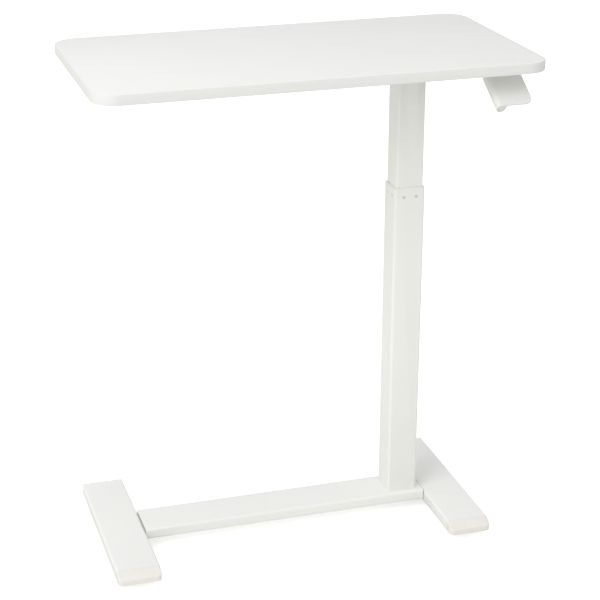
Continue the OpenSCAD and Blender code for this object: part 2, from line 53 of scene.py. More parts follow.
SIDES = ("left", "right")
CORNERS = ("front_left", "front_right", "rear_left", "rear_right")

# How finely the meshes are made
ARC_STEPS = 10
TOP_CORNER_STEPS = 24
TURN_STEPS = 48
SMALL_TURN_STEPS = 40
WHEEL_TURN_STEPS = 64
MERGE_DISTANCE = 1e-6
SHARP_ANGLE = 35

# Share of a rounded edge's radius that is cut away half way round it
HALFWAY = 0.3

# Sizes of the tabletop that the nodes' boxes don't show
TOP_CORNER = 0.038

# Sizes of the column: its two tubes, the notch for the release finger, and the collar
LOWER_WALL = 0.0012
UPPER_WALL = 0.0015
TUBE_CORNER = 0.004
NOTCH_W = 0.016
NOTCH_H = 0.024
BUSH_GAP = 0.0001
BUSH_RUN_GAP = 0.00005
BUSH_LIP = 0.0015
PIN_PITCH = 0.021

# Sizes of the crossbar
BAR_WALL = 0.002
BAR_EDGE = 0.0025
BOLT_HOLE_R = 0.0033
ACCESS_R = 0.0075

# Sizes of the feet and their caps
FOOT_WALL = 0.002
FOOT_EDGE = 0.0035
FOOT_HOLE_R = 0.0028
CAP_SLOPE = math.radians(30)
FRONT_CORNER = 0.0078
REAR_CORNER = 0.003
CAP_WALL = 0.0025

# Sizes of the release lever: a wing on a round sleeve, moulded over a bent rod
LEVER_SLOPE = math.radians(32)
SLEEVE_R = 0.008
SLEEVE_END = 0.008
WING_T = 0.0035
WING_REACH = 0.052
WING_CORNER = 0.0145
WING_REAR_CORNER = 0.003
PADDLE_L = 0.066
PADDLE_SHARP = 40
ROD_R = 0.004


# ---- Outlines, lofts and finished pieces ----

def node_mesh(node):
    """A CAD node's mesh, as a bmesh with its doubled points merged."""
    bm = bmesh.new()
    bm.from_mesh(frame["nodes"][node].data)
    bmesh.ops.remove_doubles(bm, verts=bm.verts, dist=MERGE_DISTANCE)
    return bm


def solids(node):
    """Lowest and highest corners of each separate solid of a CAD node."""
    bm = node_mesh(node)
    bm.verts.index_update()
    seen = set()
    boxes = []
    for first in bm.verts:
        if first.index in seen:
            continue
        seen.add(first.index)
        found = [first]
        for vert in found:
            for edge in vert.link_edges:
                other = edge.other_vert(vert)
                if other.index not in seen:
                    seen.add(other.index)
                    found.append(other)
        corners = [Vector([pick(vert.co[i] for vert in found) for i in range(3)]) for pick in (min, max)]
        boxes.append(tuple(corners))
    bm.free()
    return boxes


def arc(cx, cy, r, start, end, steps=ARC_STEPS):
    """Points on a circular arc between two angles in degrees."""
    angles = [math.radians(start + (end - start) * i / steps) for i in range(steps + 1)]
    return [(cx + r * math.cos(a), cy + r * math.sin(a)) for a in angles]


def rounded_rect(w, d, r, steps=ARC_STEPS):
    """Outline of a rectangle with rounded corners, centred on the origin."""
    x = w / 2 - r
    y = d / 2 - r
    return (arc(x, y, r, 0, 90, steps) + arc(-x, y, r, 90, 180, steps)
            + arc(-x, -y, r, 180, 270, steps) + arc(x, -y, r, 270, 360, steps))


def easing(r, angles):
    """Distances from an end face to the points of its rounded corner, at angles in degrees."""
    return [r * (1 - math.cos(math.radians(a))) for a in angles]


def corner_inset(r, distance):
    """How far a rounded corner cuts into the side, at a distance from its end face."""
    return r - math.sqrt(r ** 2 - max(r - distance, 0) ** 2)


def along_x(y=0.0, z=0.0):
    """Places an outline in the plane across X."""
    return lambda u, v, h: Vector((h, y + u, z + v))


def along_y(x=0.0, z=0.0):
    """Places an outline in the plane across Y."""
    return lambda u, v, h: Vector((x + u, h, z + v))


def along_z(x=0.0, y=0.0):
    """Places an outline in the plane across Z."""
    return lambda u, v, h: Vector((x + u, y + v, h))


def loft(rings, close_round=False):
    """Mesh through rings of equally many points, with closed ends.

    close_round joins the last ring to the first instead.
    """
    bm = bmesh.new()
    verts = [[bm.verts.new(p) for p in ring] for ring in rings]
    count = len(rings[0])
    pairs = list(zip(verts, verts[1:]))
    if close_round:
        pairs.append((verts[-1], verts[0]))
    for lower, upper in pairs:
        for i in range(count):
            j = (i + 1) % count
            bm.faces.new((lower[i], lower[j], upper[j], upper[i]))
    if not close_round:
        bm.faces.new(list(reversed(verts[0])))
        bm.faces.new(verts[-1])
    bmesh.ops.remove_doubles(bm, verts=bm.verts, dist=MERGE_DISTANCE)
    bmesh.ops.recalc_face_normals(bm, faces=bm.faces)
    return bm


def lathe(profile, place, steps=TURN_STEPS, close_round=False):
    """Mesh turned round an axis from (radius, height) points.

    A radius may be a function of the angle.
    """
    angles = [2 * math.pi * i / steps for i in range(steps)]
    rings = []
    for radius, height in profile:
        reach = radius if callable(radius) else lambda angle, r=radius: r
        rings.append([place(reach(a) * math.cos(a), reach(a) * math.sin(a), height) for a in angles])
    return loft(rings, close_round=close_round)


def plain_rod(place, r, low, high):
    """Closed cylinder with softened rims."""
    soft = min(0.0003, r / 4)
    profile = [(0, low), (r - soft, low), (r, low + soft),
               (r, high - soft), (r - soft, high), (0, high)]
    return lathe(profile, place)


def moved(matrix, swap=False):
    """Places an outline in a matrix's own XY plane, or across its Y when swap is set."""
    if swap:
        return lambda u, v, h: matrix @ Vector((u, h, v))
    return lambda u, v, h: matrix @ Vector((u, v, h))


def joined(*meshes):
    """One bmesh from several, with no merging between them."""
    whole = bmesh.new()
    for bm in meshes:
        part = bpy.data.meshes.new("part")
        bm.to_mesh(part)
        bm.free()
        whole.from_mesh(part)
        bpy.data.meshes.remove(part)
    return whole


def make_object(name, bm, material, sharp=SHARP_ANGLE):
    """Object from a bmesh, smooth except where faces meet at more than the given angle."""
    mesh = bpy.data.meshes.new(name)
    bm.to_mesh(mesh)
    bm.free()
    mesh.shade_smooth()
    mesh.set_sharp_from_angle(angle=math.radians(sharp))
    obj = bpy.data.objects.new(name, mesh)
    bpy.context.scene.collection.objects.link(obj)
    if material is not None:
        mesh.materials.append(material)
    return obj


def finish_piece(obj, body, slot, *nodes):
    """Hangs a piece on the body it rides on and hides the nodes it stands for; the finish passed as slot
    is not used.
    """
    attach(obj, body)
    if nodes:
        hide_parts(*nodes)


def cut(obj, cutter_bm, sharp=SHARP_ANGLE):
    """Takes the cutter away from the object."""
    cutter = make_object("cutter", cutter_bm, None)
    modifier = obj.modifiers.new("cut", "BOOLEAN")
    modifier.operation = "DIFFERENCE"
    modifier.solver = "EXACT"
    modifier.object = cutter
    graph = bpy.context.evaluated_depsgraph_get()
    mesh = bpy.data.meshes.new_from_object(obj.evaluated_get(graph))
    obj.modifiers.clear()
    old = obj.data
    obj.data = mesh
    mesh.name = obj.name
    bpy.data.meshes.remove(old)
    bpy.data.objects.remove(cutter)
    mesh.shade_smooth()
    mesh.set_sharp_from_angle(angle=math.radians(sharp))


def softened(node, material, width):
    """Stands for a CAD node with a copy of it whose hard edges are broken by a small bevel."""
    flat_angle = 0.5
    hard_angle = 40
    bm = node_mesh(node)
    bmesh.ops.dissolve_limit(bm, angle_limit=math.radians(flat_angle), verts=bm.verts, edges=bm.edges)
    obj = make_object(node + "_finished", bm, material)
    bevel = obj.modifiers.new("bevel", "BEVEL")
    bevel.width = width
    bevel.segments = 2
    bevel.limit_method = "ANGLE"
    bevel.angle_limit = math.radians(hard_angle)
    finish_piece(obj, BODY_OF[node], SLOT_OF[node], node)


# ---- Materials ----

def start_material(name, color, roughness, metallic=0.0, specular=0.5):
    """A material with its main shader set, ready for more nodes."""
    material = bpy.data.materials.new(name)
    material.use_nodes = True
    shader = material.node_tree.nodes["Principled BSDF"]
    shader.inputs["Base Color"].default_value = (*color, 1.0)
    shader.inputs["Roughness"].default_value = roughness
    shader.inputs["Metallic"].default_value = metallic
    shader.inputs["Specular IOR Level"].default_value = specular
    return material, shader


def texture_space(material, stretch=(1.0, 1.0, 1.0)):
    """Object coordinates in metres, stretched by the given factors."""
    nodes = material.node_tree.nodes
    coords = nodes.new("ShaderNodeTexCoord")
    mapping = nodes.new("ShaderNodeMapping")
    mapping.inputs["Scale"].default_value = stretch
    material.node_tree.links.new(coords.outputs["Object"], mapping.inputs["Vector"])
    return mapping.outputs["Vector"]


def noise(material, space, scale, detail=3.0):
    """Noise texture of the given scale, in cycles per metre."""
    node = material.node_tree.nodes.new("ShaderNodeTexNoise")
    node.inputs["Scale"].default_value = scale
    node.inputs["Detail"].default_value = detail
    material.node_tree.links.new(space, node.inputs["Vector"])
    return node.outputs["Fac"]


def cells(material, space, scale):
    """Distance to the nearest point of a scattered set, for pebbled textures."""
    node = material.node_tree.nodes.new("ShaderNodeTexVoronoi")
    node.feature = "SMOOTH_F1"
    node.inputs["Scale"].default_value = scale
    material.node_tree.links.new(space, node.inputs["Vector"])
    return node.outputs["Distance"]


def spread(material, value, low, high, start=0.3, end=0.7):
    """Maps a texture's value onto a range."""
    node = material.node_tree.nodes.new("ShaderNodeMapRange")
    node.inputs["From Min"].default_value = start
    node.inputs["From Max"].default_value = end
    node.inputs["To Min"].default_value = low
    node.inputs["To Max"].default_value = high
    material.node_tree.links.new(value, node.inputs["Value"])
    return node.outputs["Result"]


def tint(material, value, color_a, color_b):
    """Mixes two colours by the middle of a texture's range."""
    node = material.node_tree.nodes.new("ShaderNodeValToRGB")
    first, last = node.color_ramp.elements
    first.position = 0.35
    last.position = 0.65
    first.color = (*color_a, 1.0)
    last.color = (*color_b, 1.0)
    material.node_tree.links.new(value, node.inputs["Fac"])
    return node.outputs["Color"]


def shaded(color, share):
    """A colour darkened to a share of itself."""
    return tuple(share * part for part in color)


def bump(material, height, distance, strength, normal=None):
    """Bump from a height texture; another bump may be passed on."""
    node = material.node_tree.nodes.new("ShaderNodeBump")
    node.inputs["Distance"].default_value = distance
    node.inputs["Strength"].default_value = strength
    material.node_tree.links.new(height, node.inputs["Height"])
    if normal is not None:
        material.node_tree.links.new(normal, node.inputs["Normal"])
    return node.outputs["Normal"]


def feed(material, shader, socket, value):
    """Links a texture to one of the shader's sockets."""
    material.node_tree.links.new(value, shader.inputs[socket])


def powder_coat(name, color, shade=0.985):
    """Fine matt powder coat: orange peel, a fine tooth and slightly uneven gloss."""
    material, shader = start_material(name, color, roughness=0.42)
    space = texture_space(material)
    clouds = noise(material, space, scale=9.0)
    gloss = noise(material, space, scale=60.0)
    grit = noise(material, space, scale=4200.0, detail=1.0)
    waves = noise(material, space, scale=520.0, detail=2.0)
    feed(material, shader, "Base Color", tint(material, clouds, shaded(color, shade), color))
    feed(material, shader, "Roughness", spread(material, gloss, low=0.36, high=0.48))
    tooth = bump(material, grit, distance=0.00003, strength=0.35)
    peel = bump(material, waves, distance=0.00012, strength=0.35, normal=tooth)
    feed(material, shader, "Normal", peel)
    return material


def laminate(name, color):
    """Melamine laminate: a fine pebbled emboss and faint clouding."""
    material, shader = start_material(name, color, roughness=0.45)
    space = texture_space(material)
    clouds = noise(material, space, scale=5.0, detail=4.0)
    gloss = noise(material, space, scale=25.0, detail=5.0)
    grain = noise(material, space, scale=700.0)
    feed(material, shader, "Base Color", tint(material, clouds, shaded(color, 0.985), color))
    feed(material, shader, "Roughness", spread(material, gloss, low=0.40, high=0.52))
    pebble = bump(material, cells(material, space, scale=1300.0), distance=0.00005, strength=0.4)
    emboss = bump(material, grain, distance=0.00006, strength=0.3, normal=pebble)
    feed(material, shader, "Normal", emboss)
    return material


def edge_strip(name, color):
    """Plastic edge band: faint streaks along its length."""
    material, shader = start_material(name, color, roughness=0.4)
    space = texture_space(material, stretch=(12.0, 12.0, 900.0))
    streaks = noise(material, space, scale=1.0)
    feed(material, shader, "Base Color", tint(material, streaks, shaded(color, 0.97), color))
    feed(material, shader, "Roughness", spread(material, streaks, low=0.34, high=0.46))
    feed(material, shader, "Normal", bump(material, streaks, distance=0.00004, strength=0.3))
    return material


def moulded(name, color, roughness, grain=2200.0, subsurface=0.0):
    """Moulded plastic with a fine spark-eroded texture."""
    material, shader = start_material(name, color, roughness)
    space = texture_space(material)
    clouds = noise(material, space, scale=40.0)
    gloss = noise(material, space, scale=180.0)
    sparks = noise(material, space, scale=grain, detail=2.0)
    feed(material, shader, "Base Color", tint(material, clouds, shaded(color, 0.97), color))
    feed(material, shader, "Roughness",
         spread(material, gloss, low=roughness - 0.05, high=roughness + 0.06))
    feed(material, shader, "Normal", bump(material, sparks, distance=0.00005, strength=0.35))
    if subsurface:
        shader.inputs["Subsurface Weight"].default_value = subsurface
        shader.inputs["Subsurface Radius"].default_value = (0.004, 0.003, 0.002)
    return material


def zinc(name, color):
    """Zinc-plated steel: cloudy, with fine scratches."""
    material, shader = start_material(name, color, roughness=0.35, metallic=1.0)
    space = texture_space(material)
    bluish = (color[0] * 0.82, color[1] * 0.84, color[2] * 0.88)
    clouds = noise(material, space, scale=110.0, detail=4.0)
    gloss = noise(material, space, scale=350.0, detail=4.0)
    feed(material, shader, "Base Color", tint(material, clouds, bluish, color))
    feed(material, shader, "Roughness", spread(material, gloss, low=0.26, high=0.48))
    lengthwise = texture_space(material, stretch=(1.0, 30.0, 1.0))
    scratches = noise(material, lengthwise, scale=160.0, detail=2.0)
    feed(material, shader, "Normal", bump(material, scratches, distance=0.00002, strength=0.3))
    return material


def polished(name, color):
    """Hard chrome with hairline scratches along the rod."""
    material, shader = start_material(name, color, roughness=0.12, metallic=1.0)
    space = texture_space(material, stretch=(600.0, 600.0, 8.0))
    hairlines = noise(material, space, scale=1.0)
    feed(material, shader, "Roughness", spread(material, hairlines, low=0.08, high=0.2))
    feed(material, shader, "Normal", bump(material, hairlines, distance=0.00001, strength=0.2))
    return material


STEEL_WHITE = powder_coat("powder_coat_white", (0.855, 0.86, 0.838))
TOP_WHITE = laminate("laminate_white", (0.86, 0.86, 0.85))
BAND_WHITE = edge_strip("edge_band_white", (0.785, 0.785, 0.77))
PLASTIC_WHITE = moulded("plastic_white", (0.86, 0.86, 0.85), roughness=0.4)
# The lever's white plastic is darker than the other white plastic of its slot: painted shade of the
# tabletop above it.
LEVER_WHITE_PAINTED_SHADE = moulded("plastic_white_painted_shade", (0.78, 0.78, 0.765), roughness=0.5)
CAP_WHITE = moulded("plastic_warm_white", (0.812, 0.799, 0.754), roughness=0.42, subsurface=0.04)
DARK_PLASTIC = moulded("plastic_dark_grey", (0.035, 0.036, 0.04), roughness=0.5)
PLASTIC_GREY = moulded("plastic_grey", (0.50, 0.505, 0.51), roughness=0.45)
PIN_GREY = moulded("plastic_light_grey", (0.60, 0.60, 0.59), roughness=0.45)
TYRE_GREY = moulded("tyre_grey", (0.20, 0.203, 0.207), roughness=0.55, grain=1500.0)
BLACK_COAT = powder_coat("powder_coat_black", (0.02, 0.02, 0.022), shade=0.8)
ZINC = zinc("zinc_plate", (0.62, 0.63, 0.65))
CHROME = polished("hard_chrome", (0.8, 0.8, 0.81))


# ---- Tabletop ----

def slab_rings(w, d, r, low, high, soft, steps):
    """Rings of a rounded slab whose top and bottom edges are softened by a small radius."""
    place = along_z()
    turns = [math.radians(90 * i / steps) for i in range(steps + 1)]
    levels = [(soft * (1 - math.sin(a)), low + soft * (1 - math.cos(a))) for a in turns]
    levels += [(soft * (1 - math.sin(a)), high - soft * (1 - math.cos(a))) for a in reversed(turns)]
    rings = []
    for inset, h in levels:
        outline = rounded_rect(w - 2 * inset, d - 2 * inset, r - inset, TOP_CORNER_STEPS)
        rings.append([place(u, v, h) for u, v in outline])
    return rings


def build_tabletop():
    """Laminated board and the band round its edge."""
    low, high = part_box("tabletop_board")
    band_low, band_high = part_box("tabletop_edge_band")
    w = high.x - low.x
    d = high.y - low.y
    band = band_high.x - high.x
    board_corner = TOP_CORNER - band
    board_edge = 0.00015
    slab = slab_rings(w, d, board_corner, low.z, high.z, board_edge, steps=2)
    board = make_object("tabletop_panel", loft(slab), TOP_WHITE)
    finish_piece(board, "top", "laminate", "tabletop_board")

    # The band's outside is nearly a full quarter round; its inside lies a hair below both faces
    band_edge = 0.95 * band
    hair = 0.00005
    outer = slab_rings(w + 2 * band, d + 2 * band, TOP_CORNER,
                       band_low.z, band_high.z, band_edge, steps=4)
    place = along_z()
    outline = rounded_rect(w, d, board_corner, TOP_CORNER_STEPS)
    inner = [[place(u, v, h) for u, v in outline] for h in (band_high.z - hair, band_low.z + hair)]
    strip = make_object("tabletop_edge_strip", loft(outer + inner, close_round=True), BAND_WHITE)
    finish_piece(strip, "top", "edge_band", "tabletop_edge_band")


# ---- Column ----

def tube_rings(w, wall, r, low, high, place):
    """Rings of a square tube: up the outside, over the rim, down the inside and over the lower rim."""
    lip = 0.0002
    soft = HALFWAY * lip
    inner_w = w - 2 * wall
    inner_r = r - wall
    outside = [(0.0, low + lip), (0.0, high - lip), (soft, high - soft), (lip, high)]
    inside = [(lip, high), (soft, high - soft), (0.0, high - lip),
              (0.0, low + lip), (soft, low + soft), (lip, low)]
    lower_rim = [(lip, low), (soft, low + soft)]
    rings = [rounded_rect(w - 2 * i, w - 2 * i, r - i) for i, h in outside]
    rings += [rounded_rect(inner_w + 2 * i, inner_w + 2 * i, inner_r + i) for i, h in inside]
    rings += [rounded_rect(w - 2 * i, w - 2 * i, r - i) for i, h in lower_rim]
    heights = [h for i, h in outside + inside + lower_rim]
    return [[place(u, v, h) for u, v in ring] for ring, h in zip(rings, heights)]


def collar_spots(x, half_w, z):
    """Matrices of the collar's eight pins, each with +Z straight out of the column's face."""
    spots = []
    for quarter in range(4):
        face = Matrix.Translation((x, 0, z)) @ Matrix.Rotation(quarter * math.pi / 2, 4, "Z")
        for side in (-1, 1):
            spots.append(face @ Matrix.Translation((half_w, side * PIN_PITCH / 2, 0))
                         @ Matrix.Rotation(math.pi / 2, 4, "Y"))
    return spots


def build_lower_column():
    """Fixed tube with the dimpled holes of the collar's pins, and the pins in them."""
    low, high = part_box("lower_column_tube")
    x = (low.x + high.x) / 2
    w = high.x - low.x
    rings = tube_rings(w, LOWER_WALL, TUBE_CORNER, low.z, high.z, along_z(x))
    tube = make_object("lower_column", loft(rings, close_round=True), STEEL_WHITE)
    pin_low, pin_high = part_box("guide_bush_pins")
    pin_r = (pin_high.z - pin_low.z) / 2
    spots = collar_spots(x, w / 2, (pin_low.z + pin_high.z) / 2)

    # Heights in the profiles of a hole and a pin are measured outwards from the column's face
    above = 0.0001
    depth = 0.003
    dimple = 0.0004
    pin_gap = 0.0001
    hole_r = pin_r + pin_gap
    hole = [(0, -depth), (hole_r, -depth), (hole_r, -dimple),
            (hole_r + HALFWAY * dimple, -HALFWAY * dimple), (hole_r + dimple, above), (0, above)]
    cut(tube, joined(*[lathe(hole, moved(spot), SMALL_TURN_STEPS) for spot in spots]))
    finish_piece(tube, "base", "white_coat", "lower_column_tube")

    head = -0.0005
    foot = head - 0.0012
    soft = 0.0003
    dish = 0.001
    pin = [(0, foot), (pin_r, foot), (pin_r, head - soft), (0.9 * pin_r, head), (0.62 * pin_r, head),
           (0.5 * pin_r, head - soft), (0.42 * pin_r, head - 0.9 * dish), (0, head - dish)]
    turned = [lathe(pin, moved(spot), SMALL_TURN_STEPS) for spot in spots]
    pins = make_object("collar_pins", joined(*turned), PIN_GREY)
    finish_piece(pins, "base", "grey_plastic", "guide_bush_pins")


def build_upper_column():
    """Moving tube with the notch for the release finger."""
    low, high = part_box("upper_column_tube")
    x = (low.x + high.x) / 2
    w = high.x - low.x
    rings = tube_rings(w, UPPER_WALL, TUBE_CORNER, low.z, high.z, along_z(x))
    tube = make_object("upper_column", loft(rings, close_round=True), STEEL_WHITE)
    spare = 0.001
    bottom = high.z - NOTCH_H
    top = high.z + spare
    half = NOTCH_W / 2
    outline = ((-half, bottom), (half, bottom), (half, top), (-half, top))
    notch = [[Vector((x + u, y, z)) for u, z in outline]
             for y in (low.y - spare, low.y + UPPER_WALL + spare)]
    cut(tube, loft(notch))
    finish_piece(tube, "top", "white_coat", "upper_column_tube")


def build_collar():
    """Plastic bush between the two tubes, with the lip that shows above the lower one."""
    low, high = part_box("upper_guide_bush")
    upper_low, upper_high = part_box("upper_column_tube")
    lower_low, lower_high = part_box("lower_column_tube")
    bore_w = upper_high.x - upper_low.x + 2 * BUSH_RUN_GAP
    sleeve_w = lower_high.x - lower_low.x - 2 * LOWER_WALL - 2 * BUSH_GAP
    sleeve_r = TUBE_CORNER - LOWER_WALL
    shoulder = high.z - BUSH_LIP
    lip_w = high.x - low.x
    soft = 0.0005
    slight = HALFWAY * soft
    crisp = 0.0001
    lip_r = TUBE_CORNER - soft
    profile = [(sleeve_w, sleeve_r, low.z), (sleeve_w, sleeve_r, shoulder), (lip_w, lip_r, shoulder),
               (lip_w, lip_r, high.z - soft), (lip_w - 2 * slight, lip_r - slight, high.z - slight),
               (lip_w - 2 * soft, lip_r - soft, high.z),
               (bore_w + 2 * crisp, TUBE_CORNER + crisp, high.z),
               (bore_w, TUBE_CORNER, high.z - crisp), (bore_w, TUBE_CORNER, low.z)]
    place = along_z((upper_low.x + upper_high.x) / 2)
    rings = [[place(u, v, h) for u, v in rounded_rect(width, width, r)] for width, r, h in profile]
    bush = make_object("column_collar", loft(rings, close_round=True), PLASTIC_WHITE)
    finish_piece(bush, "base", "white_plastic", "upper_guide_bush")


# ---- Base ----

def build_crossbar():
    """Flat tube between the feet, with the holes for the column's bolts."""
    low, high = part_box("crossbar")
    w = high.y - low.y
    h = high.z - low.z
    lip = 0.0004
    place = along_x(0, (low.z + high.z) / 2)
    outer = [[place(u, v, x) for u, v in rounded_rect(w - 2 * i, h - 2 * i, BAR_EDGE - i)]
             for i, x in ((lip, low.x), (0, low.x + lip), (0, high.x - lip), (lip, high.x))]
    outline = rounded_rect(w - 2 * BAR_WALL, h - 2 * BAR_WALL, BAR_EDGE - BAR_WALL)
    inner = [[place(u, v, x) for u, v in outline] for x in (high.x, low.x)]
    bar = make_object("crossbar_tube", loft(outer + inner, close_round=True), STEEL_WHITE)
    holes = []
    for bolt_low, bolt_high in solids("column_bolts"):
        middle = (bolt_low + bolt_high) / 2
        spot = along_z(middle.x, middle.y)
        holes.append(plain_rod(spot, ACCESS_R, low.z - BAR_WALL, low.z + 2 * BAR_WALL))
        holes.append(plain_rod(spot, BOLT_HOLE_R, high.z - 2 * BAR_WALL, high.z + BAR_WALL))
    cut(bar, joined(*holes))
    finish_piece(bar, "base", "white_coat", "crossbar")
    for side in SIDES:
        softened("crossbar_end_plate_" + side, STEEL_WHITE, width=0.0003)


def foot_outline(w, h, top_r, steps=8):
    """Outline of a foot's section with its two top edges rounded, standing on its origin."""
    x = w / 2
    low_r = 0.0006
    return (arc(x - low_r, low_r, low_r, -90, 0, 3)
            + arc(x - top_r, h - top_r, top_r, 0, 90, steps)
            + arc(-x + top_r, h - top_r, top_r, 90, 180, steps)
            + arc(-x + low_r, low_r, low_r, 180, 270, 3))


def channel_outline(w, h, wall, r):
    """Outline of a bent sheet open downwards, with rounded sheet edges."""
    steps = 8
    edge_steps = 4
    x = w / 2
    inner = r - wall
    edge = wall / 2
    outside = arc(x - r, h - r, r, 0, 90, steps) + arc(-x + r, h - r, r, 90, 180, steps)
    left_edge = arc(-x + edge, edge, edge, 180, 360, edge_steps)
    inside = arc(-x + r, h - r, inner, 180, 90, steps) + arc(x - r, h - r, inner, 90, 0, steps)
    right_edge = arc(x - edge, edge, edge, 180, 360, edge_steps)
    return outside + left_edge + inside + right_edge


def build_foot(side):
    """Bent steel channel of one foot, with the bolt holes towards the crossbar."""
    node = "foot_" + side
    low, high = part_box(node)
    w = high.x - low.x
    place = along_y((low.x + high.x) / 2, low.z)
    outline = channel_outline(w, high.z - low.z, FOOT_WALL, FOOT_EDGE)
    rings = [[place(u, v, y) for u, v in outline] for y in (low.y, high.y)]
    foot = make_object(node + "_channel", loft(rings), STEEL_WHITE)
    joint_x = high.x if side == "left" else low.x
    reach = 1.5 * FOOT_WALL
    holes = []
    for bolt_low, bolt_high in solids("foot_bolts"):
        middle = (bolt_low + bolt_high) / 2
        spot = along_x(middle.y, middle.z)
        if abs(middle.x - joint_x) < w:
            holes.append(plain_rod(spot, FOOT_HOLE_R, joint_x - reach, joint_x + reach))
    cut(foot, joined(*holes))
    finish_piece(foot, "base", "white_coat", node)


def cap_head(place, w, h, length, corner_r, outer, inward):
    """Visible head of a foot's cap, from its outer face inwards; inward is 1 or -1 along Y.

    The outer face meets the sloping top in a small brow, which turns through 60 degrees, and a fine
    seam is left at the foot's end.
    """
    brow = 0.0006
    crisp_edge = 0.0014
    seam = 0.0003
    outer_h = h - length * math.tan(CAP_SLOPE)
    brow_end = brow * (1 - math.sin(CAP_SLOPE))
    brow_z = outer_h + brow_end * math.tan(CAP_SLOPE) - brow * math.cos(CAP_SLOPE)
    stations = easing(brow, range(0, 61, 12))
    stations += [t for t in easing(corner_r, range(0, 91, 9)) if brow_end < t < length - 2 * seam]
    stations += [length - seam, length]
    rings = []
    for t in stations:
        side_in = corner_inset(corner_r, t)
        height = outer_h + t * math.tan(CAP_SLOPE)
        if t < brow_end:
            height = brow_z + math.sqrt(brow ** 2 - (brow - t) ** 2)
        gap = seam / 2 if t == length else 0
        edge_r = crisp_edge + (FOOT_EDGE - crisp_edge) * t / length
        outline = foot_outline(w - 2 * side_in - 2 * gap, height - gap, edge_r)
        rings.append([place(u, v, outer + inward * t) for u, v in outline])
    return loft(rings)


def cap_plug(place, w, h, start, end):
    """Hollow plug that holds a cap inside the foot's channel."""
    steps = 4
    r = FOOT_EDGE - FOOT_WALL
    outer = foot_outline(w, h, r, steps)
    inner_w = w - 2 * CAP_WALL
    inner_h = h - 2 * CAP_WALL
    inner = [(u, v + CAP_WALL) for u, v in foot_outline(inner_w, inner_h, r, steps)]
    levels = ((outer, start), (outer, end), (inner, end), (inner, start))
    rings = [[place(u, v, y) for u, v in outline] for outline, y in levels]
    return loft(rings, close_round=True)


def build_caps(side):
    """Moulded caps on both ends of one foot."""
    foot_low, foot_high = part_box("foot_" + side)
    place = along_y((foot_low.x + foot_high.x) / 2, foot_low.z)
    w = foot_high.x - foot_low.x
    h = foot_high.z - foot_low.z
    plug_gap = 0.0001
    plug_w = w - 2 * FOOT_WALL - 2 * plug_gap
    plug_h = h - FOOT_WALL - plug_gap
    low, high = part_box("front_cap_" + side)
    cap = make_object("front_cap_" + side + "_moulding", joined(
        cap_head(place, w, h, foot_low.y - low.y, FRONT_CORNER, low.y, 1),
        cap_plug(place, plug_w, plug_h, foot_low.y, high.y)), CAP_WHITE)
    finish_piece(cap, "base", "cap_plastic", "front_cap_" + side)
    low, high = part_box("rear_cap_" + side)
    cap = make_object("rear_cap_" + side + "_moulding", joined(
        cap_head(place, w, h, high.y - foot_high.y, REAR_CORNER, high.y, -1),
        cap_plug(place, plug_w, plug_h, foot_high.y, low.y)), PLASTIC_WHITE)
    finish_piece(cap, "base", "white_plastic", "rear_cap_" + side)


# ---- Release lever ----

def lever_space():
    """Matrix at the sleeve's front end: +Y runs up the sleeve and +Z is the wing's upper side."""
    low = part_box("lever_paddle")[0]
    rod_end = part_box("lever_rod")[1]
    y = low.y + SLEEVE_R * math.sin(LEVER_SLOPE)
    z = low.z + SLEEVE_R * math.cos(LEVER_SLOPE)
    return Matrix.Translation((rod_end.x - ROD_R, y, z)) @ Matrix.Rotation(LEVER_SLOPE, 4, "X")


def paddle_section(reach, inset):
    """Section across the lever: a round sleeve, a flat wing off its upper side, and a web below it."""
    web_r = 0.004
    r = SLEEVE_R - inset
    under = SLEEVE_R - WING_T + inset
    half = (r - under) / 2
    lean = math.degrees(math.asin((under - web_r) / (r + web_r)))
    web_x = (r + web_r) * math.cos(math.radians(lean))
    tip = arc(reach - inset - half, (r + under) / 2, half, 90, -90, steps=8)
    web = arc(web_x, under - web_r, web_r, 90, 180 + lean, steps=6)
    sleeve = arc(0, 0, r, lean, -270, steps=36)
    return tip + web + sleeve


def build_paddle(space):
    """Moulded paddle that the hand lifts, with the plug in its sleeve's open end."""
    place = moved(space, swap=True)

    # Places along the sleeve: the softened front end, the wing's front corner beyond it, and the rear
    soft = 0.0011
    rear_soft = 0.0005
    edge = list(zip(easing(soft, range(0, 91, 18)), easing(soft, range(90, -1, -18))))
    corner = easing(WING_CORNER, range(27, 91, 9))
    rear = [PADDLE_L - t for t in easing(WING_REAR_CORNER, range(90, 29, -20))]
    last = [(PADDLE_L - 0.8 * rear_soft, 0.0), (PADDLE_L, rear_soft)]
    rings = []
    for s, inset in edge + [(t, 0.0) for t in corner + rear] + last:
        front_in = corner_inset(WING_CORNER, s)
        rear_in = corner_inset(WING_REAR_CORNER, PADDLE_L - s)
        outline = paddle_section(WING_REACH - front_in - rear_in, inset)
        rings.append([place(u, v, s) for u, v in outline])
    # The paddle and its plug take the white plastic darkened as painted shade of the tabletop.
    paddle = make_object("lever_paddle_moulding", loft(rings), LEVER_WHITE_PAINTED_SHADE, PADDLE_SHARP)

    # The sleeve's end is dished, with a chamfered rim
    dish_r = 0.0056
    depth = 0.0012
    dish = [(0, -soft), (dish_r + 0.4 * soft, -soft), (dish_r, 0.3 * soft), (dish_r, depth), (0, depth)]
    cut(paddle, lathe(dish, place, SMALL_TURN_STEPS), PADDLE_SHARP)
    finish_piece(paddle, "lever", "white_plastic", "lever_paddle")

    plug_gap = 0.00025
    plug_r = dish_r - plug_gap
    back = depth + 0.0005
    sunk = 0.0002
    dome = [(0, sunk), (0.45 * plug_r, 1.1 * sunk), (0.8 * plug_r, 2 * sunk), (plug_r, 4 * sunk)]
    plug = lathe(dome + [(plug_r, back), (0, back)], place, SMALL_TURN_STEPS)
    finish_piece(make_object("lever_sleeve_plug", plug, LEVER_WHITE_PAINTED_SHADE), "lever", "white_plastic")


